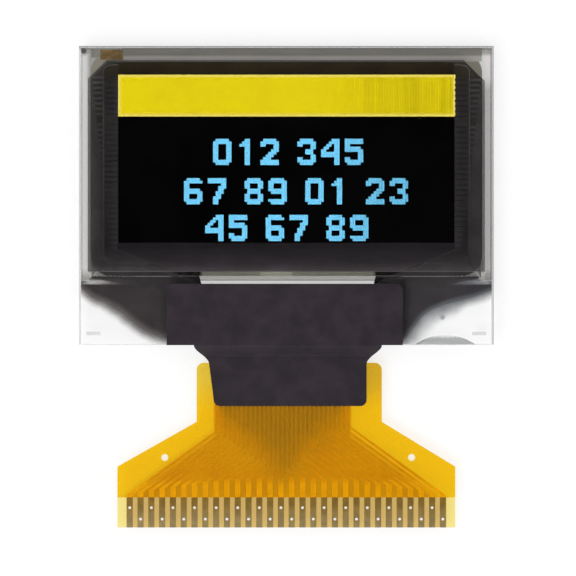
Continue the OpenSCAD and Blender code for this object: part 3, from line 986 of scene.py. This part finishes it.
DIGITS = {
    "0": ".#####. ####### ##...## ##...## ##...## ##...## ##...## ##...## ####### .#####.",
    "1": "...##.. ..###.. .####.. ...##.. ...##.. ...##.. ...##.. ...##.. ...##.. ...##..",
    "2": ".#####. ####### ##...## .....## ....### ...###. ..###.. .###... ####### #######",
    "3": ".#####. ####### ##...## .....## ...###. ...###. .....## ##...## ####### .#####.",
    "4": "....### ...#### ..##.## .##..## ##...## ####### ####### .....## .....## .....##",
    "5": "####### ####### ##..... ######. ####### .....## .....## ##...## ####### .#####.",
    "6": ".#####. ####### ##..... ##..... ######. ####### ##...## ##...## ####### .#####.",
    "7": "####### ####### .....## ....### ....##. ...###. ...##.. ..###.. ..##... ..##...",
    "8": ".#####. ####### ##...## ##...## .#####. .#####. ##...## ##...## ####### .#####.",
    "9": ".#####. ####### ##...## ##...## ####### .###### .....## .....## ####### .#####.",
}


@dataclass
class DotMatrix:
    """The screen: its black layers, its metal rows and the dots that are lit."""

    columns: int = 128
    yellow_rows: int = 16
    blue_rows: int = 48
    pitch: float = 0.17
    across: float = 0.1708
    middle: float = 0.03
    dots: dict[Light, float] = field(default_factory=lambda: {
        Light.YELLOW: 0.158, Light.BLUE: 0.166})
    margin: float = 0.03
    over: float = 0.07
    sink: float = 0.0002
    rise: float = 0.0038
    digit_step: int = 9
    space: int = 5
    lines: dict[int, tuple[int, str]] = field(default_factory=lambda: {
        6: (36, "012 345"), 21: (25, "67 89 01 23"), 35: (33, "45 67 89")})
    yellow: LitDots = LitDots("yellow_light", srgb(255, 232, 22), 2.72, srgb(255, 234, 104))
    blue: LitDots = LitDots("blue_light", srgb(118, 210, 255), 3.4, srgb(118, 210, 255))
    glow: float = 0.72
    unlit: Mottled = Mottled("unlit_layer", (0.002, 0.002, 0.003), 0.1, roughness=0.5, gloss=0.03)
    insulator: Graded = Graded("insulator", ((0.24, 0.22, 0.235), (0.155, 0.143, 0.15),
                                             (0.15, 0.128, 0.085)),
                               ((-6.2, -5.4), (4.6, 5.9)), 0.12, gloss=0.05)
    rows_metal: Mottled = Mottled("row_metal", (0.62, 0.62, 0.64), 0.05, 1.0, 0.05, 0.001, 0.2, 1.0)
    resist: Mottled = Mottled("separator_resist", (0.03, 0.025, 0.025), 0.1, roughness=0.4)

    def build(self) -> None:
        """Dresses the layers and lights the dots."""
        top = corners("yellow_emitter")[1].y + self.over
        self.yellow = replace(self.yellow, half_width=self.columns * self.across / 2,
                              low=top - self.yellow_rows * self.pitch, high=top)
        dress_all({"yellow_emitter": replace(self.yellow, name="yellow_field",
                                             strength=self.yellow.strength * self.glow)})
        dress_all({"blue_emitter": self.unlit, "insulator_frame": self.insulator,
                   "cathode_rows": self.rows_metal, "cathode_separators": self.resist})
        self._light(Light.YELLOW, lambda column, row: True)
        lit = self._figures()
        self._light(Light.BLUE, lambda column, row: (column, row) in lit)

    def _figures(self) -> set[tuple[int, int]]:
        """Works out which blue dots the lines of digits light.

        Returns:
            The column and row of each.
        """
        lit: set[tuple[int, int]] = set()
        for top, (start, text) in self.lines.items():
            column = start
            for sign in text:
                if sign == " ":
                    column += self.space
                    continue
                for down, cells in enumerate(DIGITS[sign].split()):
                    lit |= {(column + i, top + down) for i, c in enumerate(cells) if c == "#"}
                column += self.digit_step
        return lit

    def _light(self, colour: Light, wanted: Callable[[int, int], bool]) -> None:
        """Models one dot, repeats it over the field and removes the unlit ones.

        Args:
            colour: Which field is lit.
            wanted: Says whether the dot in a column and row is lit.
        """
        low, high = corners(f"{colour.value}_emitter")
        rows = self.yellow_rows if colour is Light.YELLOW else self.blue_rows
        left = self.middle - (self.columns - 1) / 2 * self.across
        top = high.y + self.over - self.pitch / 2
        if colour is Light.BLUE:
            top = low.y + self.margin + (rows - 0.5) * self.pitch
        centre = Vector((left, top, high.z + self.sink))
        half = Vector((self.dots[colour] / 2, self.dots[colour] / 2, 0.0))
        piece = Workpiece.block(f"{colour.value}_dots", centre - half,
                                centre + half + Vector((0.0, 0.0, self.rise)))
        with piece.edit("EDGE") as mesh:
            piece.pick(mesh.edges, lambda edge: all(end.co.z > centre.z + 0.001 for end in edge.verts))
            bpy.ops.mesh.bevel(offset=0.003, segments=1, affect="EDGES")
        piece.repeat(self.columns, (self.across, 0.0, 0.0))
        piece.repeat(rows, (0.0, -self.pitch, 0.0))
        with piece.edit("FACE") as mesh:
            def unlit(face: bmesh.types.BMFace) -> bool:
                """Tells whether a face belongs to an unlit dot."""
                place = face.calc_center_median()
                return not wanted(round((place.x - left) / self.across),
                                  round((top - place.y) / self.pitch))

            if piece.pick(mesh.faces, unlit):
                bpy.ops.mesh.delete(type="FACE")
        if colour is Light.YELLOW:
            piece.finish([self.yellow], "yellow_light", smooth=25.0)
        else:
            piece.finish([self.blue], "blue_layer", smooth=25.0)


@dataclass
class GlassLeads:
    """The clear strips, the dark leads and the marks on the front glass."""

    clear: ColumnLeads = ColumnLeads("clear_electrode", (0.82, 0.83, 0.80), (0.24, 0.21, 0.23),
                                     (0.10, 0.088, 0.10), (0.115, 0.088, 0.045))
    dark: LeadRows = LeadRows("lead_metal", (0.125, 0.118, 0.122), (0.26, 0.245, 0.252),
                              (0.058, 0.052, 0.055))
    inputs: Mottled = Mottled("input_metal", srgb(120, 117, 112), 0.1, 1.0, 0.05, 0.001, 0.4, gloss=0.05)
    bus: Graded = Graded("bus_metal", (srgb(172, 168, 164), srgb(132, 129, 124), srgb(126, 124, 120)),
                         ((6.92, 7.1), (7.3, 7.45)), gloss=0.05)
    pad: Mottled = Mottled("tarnished_pad", srgb(126, 104, 70), 0.3, 0.5, 0.05, 0.002, 0.4, gloss=0.05)
    marks: Graded = Graded("mark_metal", (srgb(232, 232, 230), srgb(165, 166, 168), srgb(108, 108, 105)),
                           ((-11.0, -10.5), (0.0, 1.0)), gloss=0.05)

    def build(self) -> None:
        """Dresses the nodes."""
        dress_all({"column_electrodes": self.clear, "left_row_leads": self.dark,
                   "right_row_leads": self.dark, "input_leads": self.inputs, "test_bus": self.bus,
                   "test_pad": self.pad, "alignment_marks": self.marks})


@dataclass
class FrontFilm:
    """The dark polarizing film over the screen."""

    rim: float = 0.04
    film: ClearSheet = ClearSheet("dark_film", (0.42, 0.415, 0.42), (0.02, 0.02, 0.02), 0.02, 0.05)
    cut: Mottled = Mottled("cut_film_edge", srgb(60, 58, 60), 0.15, 1.0, 0.05, 0.004, 0.35)

    def build(self) -> None:
        """Cuts the film with its softened rim."""
        piece = Workpiece.copy_of("dark_front_film", "polarizer")
        piece.soften_rims((corners("polarizer")[1].z,), self.rim)
        thing = piece.finish([self.film, self.cut], "polarizer_film", ("polarizer",))
        for face in thing.data.polygons:
            if abs(face.normal.z) < UPRIGHT:
                face.material_index = 1


@dataclass
class ChipAndResin:
    """The driver chip, its bond films and the dark resin on the ledge."""

    half: float = 13.32
    foot: float = 7.6
    thickness: float = 0.4
    web: float = 0.035
    left: Line = (
        (-13.37, 3.66), (-12.6, 2.9), (-11.55, 2.38), (-10.45, 1.49), (-9.29, 0.63), (-7.99, 0.14),
        (-7.4, 0.0))
    right: Line = (
        (7.4, 0.0), (7.89, 0.37), (8.45, 1.1), (9.1, 1.97), (10.28, 2.51), (11.58, 2.83),
        (12.66, 3.05), (13.4, 3.4))
    base: Line = ((-12.5, 0.53), (-10.8, 0.37), (7.5, 0.5), (11.0, 0.52), (11.8, 0.47))
    outward: Line = ((-12.5, 1.0), (-10.8, 0.83), (7.5, 0.42), (10.9, 0.42), (11.8, 0.75))
    inward: Line = ((-12.5, 0.9), (-10.8, 0.8), (7.5, 1.25))
    top: Line = ((-5.6, 4.45), (-5.5, 3.8), (5.67, 3.8), (5.77, 4.45))
    rim: Line = ((-12.8, 4.18), (-12.6, 4.45), *top, (12.4, 4.45), (12.6, 4.18))
    line: Line = (
        (-13.35, 0.25), (-13.15, 0.45), (-12.9, 0.62), (-12.6, 0.64), (-12.2, 0.57), (-11.8, 0.52),
        (-11.4, 0.43), (-11.0, 0.3), (-10.6, 0.17), (-10.2, 0.08), (-9.7, 0.0), (9.8, 0.0),
        (10.3, 0.04), (10.9, 0.15), (11.1, 0.24), (11.5, 0.31), (12.0, 0.38), (12.5, 0.45),
        (13.1, 0.52), (13.3, 0.4))
    line_span: Pair = (3.9, 4.26)
    line_fade: float = 0.08
    rim_fade: float = 0.06
    rim_start: float = 0.1
    bend: float = 0.12
    solid: float = 0.2
    reach: float = 1.6
    web_edge: float = 0.03
    thinnest: float = 0.01
    across: int = 170
    up: int = 40
    silicon: Mottled = Mottled("chip_silicon", (0.09, 0.09, 0.1), 0.1, 1.0, 0.03, 0.001, 0.3,
                               stretch=(8.0, 1.0, 1.0))
    bond: Mottled = Mottled("bond_film", (0.5, 0.45, 0.33), 0.1, 0.5, 0.04, 0.003, 0.45)
    resin: FadingResin = FadingResin("dark_resin", srgb(55, 51, 53), srgb(112, 106, 104),
                                     srgb(108, 111, 117), "cover")

    def build(self) -> None:
        """Dresses the chip and casts the resin."""
        dress_all({"driver_chip": self.silicon, "chip_bond_film": self.bond,
                   "flex_bond_film": self.bond})
        self.left, self.right = self._rounded(self.left), self._rounded(self.right)
        self._resin()

    def _rounded(self, points: Line, times: int = 2) -> Line:
        """Cuts the corners off a line of points.

        Args:
            points: The points.
            times: How often every corner is cut.

        Returns:
            The smoother line between the same ends.
        """
        for _ in range(times):
            cut = [points[0]]
            for (x_a, y_a), (x_b, y_b) in zip(points, points[1:]):
                cut += [(0.75 * x_a + 0.25 * x_b, 0.75 * y_a + 0.25 * y_b),
                        (0.25 * x_a + 0.75 * x_b, 0.25 * y_a + 0.75 * y_b)]
            points = tuple(cut + [points[-1]])
        return points

    def _along(self, points: Line, x: float) -> float:
        """Gives the height of a line of points at a place across, held beyond its ends.

        Args:
            points: The line's points from left to right.
            x: Place across in millimetres.

        Returns:
            The height.
        """
        if x <= points[0][0]:
            return points[0][1]
        for (x_a, y_a), (x_b, y_b) in zip(points, points[1:]):
            if x <= x_b:
                return y_a + (y_b - y_a) * (x - x_a) / (x_b - x_a)
        return points[-1][1]

    def _gap(self, x: float, y: float) -> float:
        """Gives how far a place lies inside the resin's lower edge, less than 0 outside it.

        Args:
            x: Place across in millimetres.
            y: Height above the ledge's edge in millimetres.

        Returns:
            The distance in millimetres.
        """
        points = self.left if x < 0 else self.right
        here = Vector((x, y))
        near = math.inf
        for start, end in zip(map(Vector, points), map(Vector, points[1:])):
            share = (here - start).dot(end - start) / (end - start).length_squared
            near = min(near, (here - start.lerp(end, held(share))).length)
        return near if y >= self._along(points, x) else -near

    def _cover(self, x: float, y: float, rim: float) -> float:
        """Gives how thick the resin looks at a place, from 0 to 1.

        Args:
            x: Place across in millimetres.
            y: Height above the ledge's edge in millimetres.
            rim: Height of the resin's upper edge there.

        Returns:
            The cover.
        """
        if abs(x) < self.foot - self.solid:
            return 1.0
        gap = self._gap(x, y)
        slope = self._along(self.outward, x)
        lower = self._along(self.base, x) + gap * slope
        if gap > 0.0:
            lower += (self._along(self.inward, x) - slope) * gap * gap / (gap + self.bend)
        upper = (rim - y) / self.rim_fade + self.rim_start
        low, high = self.line_span
        within = held((y - low) / self.line_fade + 0.5, (high - y) / self.line_fade + 0.5)
        return held(lower, upper) * (1.0 - within * self._along(self.line, x))

    def _resin(self) -> None:
        """Casts the resin, which thins to nothing along its edges."""
        level = corners("ledge_resin")[1].z
        edge = corners("substrate_glass")[0].y
        cap_edge = corners("cap_glass")[0].y
        piece = Workpiece.grid("resin_fillet", self.across, self.up)
        with piece.edit("FACE") as mesh:
            layer = mesh.verts.layers.float.new(self.resin.attribute)
            for vertex in mesh.verts:
                x = (2 * vertex.co.x - 1) * self.half
                points = self.left if x < 0 else self.right
                reach = self._along(self.base, x) / self._along(self.outward, x) * self.reach
                low = max(self.thinnest, self._along(points, x) - reach * (abs(x) > self.foot))
                y = low + vertex.co.y * (self._along(self.top, x) - low)
                vertex[layer] = self._cover(x, y, self._along(self.rim, x))
                vertex.co = Vector((x, edge + y, level))
            bmesh.update_edit_mesh(piece.thing.data)
            bpy.ops.mesh.select_all(action="SELECT")
            bpy.ops.mesh.extrude_region_move(TRANSFORM_OT_translate={"value": (0.0, 0.0, -1.0)})
            mesh = bmesh.from_edit_mesh(piece.thing.data)
            layer = mesh.verts.layers.float[self.resin.attribute]
            for vertex in mesh.verts:
                if vertex.co.z < level - 0.5:
                    deep = self.thickness * math.sqrt(vertex[layer])
                    if vertex.co.y > cap_edge - self.web_edge:
                        deep = min(deep, self.web)
                    vertex.co.z = level - max(self.thinnest, deep)
            bmesh.update_edit_mesh(piece.thing.data)
            bpy.ops.mesh.select_all(action="SELECT")
            bpy.ops.mesh.normals_make_consistent(inside=False)
        piece.finish([self.resin], "dark_resin", ("ledge_resin",), 40.0)


@dataclass
class FlexTail:
    """The amber flex: base film, copper tracks, gold pads and cover film."""

    rim: float = 0.012
    slip: float = 0.002
    # The copper is lighter below Y -20.9, towards the pads: a painted highlight at the feet of the
    # tracks.
    copper: Graded = Graded("etched_copper", ((0.98, 0.78, 0.6), (0.80, 0.54, 0.36)),
                            ((-20.9, -20.2),), 0.12, 0.4, 0.3, stretch=(1.0, 1.0, 1.0))
    gold: Graded = Graded("dull_gold", (srgb(158, 138, 92), srgb(138, 108, 42)), ((-23.5, -21.7),),
                          0.25, 0.4, 0.3, stretch=(1.0, 1.0, 1.0))
    base: AmberFilm = AmberFilm("base_film", (0.97, 0.84, 0.30), (0.68, 0.385, 0.10),
                                (0.64, 0.41, 0.15), (0.72, 0.50, 0.17), srgb(240, 215, 120), 0.1,
                                neck_shade_left=(0.97, 0.84, 0.34), neck_shade_right=(0.95, 0.82, 0.30))
    cover: AmberFilm = AmberFilm("cover_film", (1.0, 0.74, 0.03), (0.97, 0.72, 0.02),
                                 (0.69, 0.55, 0.08), (1.0, 0.74, 0.05), srgb(250, 176, 6), 0.1,
                                 neck_shade_left=(0.9, 0.78, 0.2), neck_shade_right=(0.78, 0.6, 0.1))

    def build(self) -> None:
        """Cuts the two films and dresses the metal between them."""
        piece = Workpiece.copy_of("amber_base_film", "flex_base_film")
        piece.shift_level(corners("flex_base_film")[1].z, -self.slip)
        piece.finish([self.base], "amber_film", ("flex_base_film",))
        low, high = corners("flex_coverlay")
        piece = Workpiece.copy_of("amber_cover_film", "flex_coverlay")
        piece.shift_level(low.z, self.slip)
        piece.soften_rims((high.z,), self.rim, segments=1)
        piece.finish([self.cover], "amber_cover", ("flex_coverlay",))
        dress_all({"flex_traces": self.copper, "pad_plating": self.gold})


@dataclass
class ShieldTape:
    """The dark tape that shades the chip."""

    tape: Mottled = Mottled("dark_tape", srgb(46, 40, 46), 0.2, 1.4, 0.09, 0.006, 0.5, gloss=0.12)

    def build(self) -> None:
        """Dresses the tape."""
        dress_all({"light_shield_tape": self.tape})


@dataclass
class Studio:
    """The pale floor, the soft light and the camera that looks straight down."""

    floor_size: float = 1.2
    floor_level: float = -0.01
    floor_glow: float = 0.72
    zenith: Pair = (0.80, 0.97)
    zenith_light: float = 0.01
    sun: float = 1.25
    sun_angle: float = 0.6
    sun_tilt: Pair = (28.0, -30.0)
    distance: float = 86.0
    view_width: float = 37.07
    aim: Pair = (0.109, -8.035)
    sensor: float = 36.0

    def build(self) -> None:
        """Sets the floor, the light and the camera."""
        self._floor()
        self._sky()
        self._lamp()
        self._camera()

    def _floor(self) -> None:
        """Lays the floor just under the part."""
        clear_bench()
        bpy.ops.mesh.primitive_plane_add(size=self.floor_size, location=(0, 0, self.floor_level * MM))
        thing = bpy.context.active_object
        thing.name = "pale_floor"
        graph = Graph("pale_paper")
        path = graph.add("ShaderNodeLightPath")
        seen = graph.math("MAXIMUM", path["Is Camera Ray"], path["Is Glossy Ray"])
        seen = graph.math("MAXIMUM", seen, path["Is Transmission Ray"])
        fibre = graph.mix(graph.ease(graph.noise(0.4)), (0.97, 0.97, 0.97), WHITE)
        paper = graph.add("ShaderNodeBsdfDiffuse", {"Color": fibre})[0]
        shader = graph.blend(graph.product(seen, self.floor_glow), paper, graph.light(WHITE, 1.0))
        thing.data.materials.append(graph.done(shader))

    def _sky(self) -> None:
        """Makes a white surround that darkens towards the zenith, behind the camera."""
        graph = Graph("soft_room", world=True)
        spot = graph.add("ShaderNodeTexCoord")["Generated"]
        height = graph.add("ShaderNodeSeparateXYZ", {0: spot})[2]
        fall = graph.span(height, *self.zenith, 1.0, self.zenith_light)
        sky = graph.add("ShaderNodeBackground", {"Color": fall})[0]
        bpy.context.scene.world = graph.done(sky)

    def _lamp(self) -> None:
        """Hangs one broad soft light on the upper left."""
        lamp = bpy.data.lights.new("window_light", "SUN")
        lamp.energy = self.sun
        lamp.angle = self.sun_angle
        thing = bpy.data.objects.new("window_light", lamp)
        thing.rotation_euler = (math.radians(self.sun_tilt[0]), math.radians(self.sun_tilt[1]), 0.0)
        bpy.context.scene.collection.objects.link(thing)

    def _camera(self) -> None:
        """Sets the camera over the part, looking straight down."""
        front = corners("substrate_glass")[1].z
        lens = bpy.data.cameras.new("camera")
        lens.sensor_width = self.sensor
        lens.lens = self.sensor * self.distance / self.view_width
        lens.clip_start = 0.001
        lens.clip_end = 10.0
        thing = bpy.data.objects.new("camera", lens)
        thing.location = (self.aim[0] * MM, self.aim[1] * MM, (front + self.distance) * MM)
        bpy.context.scene.collection.objects.link(thing)
        bpy.context.scene.camera = thing


def main() -> None:
    """Builds the sub-assemblies in order."""
    logging.basicConfig(level=logging.INFO, format="%(message)s")
    bpy.context.scene.view_settings.view_transform = "Standard"
    Studio().build()
    for part in (GlassPair(), DotMatrix(), GlassLeads(), FrontFilm(), ChipAndResin(), FlexTail(),
                 ShieldTape()):
        log.info("sub-assembly %s", type(part).__name__)
        part.build()


if __name__ == "__main__":
    main()
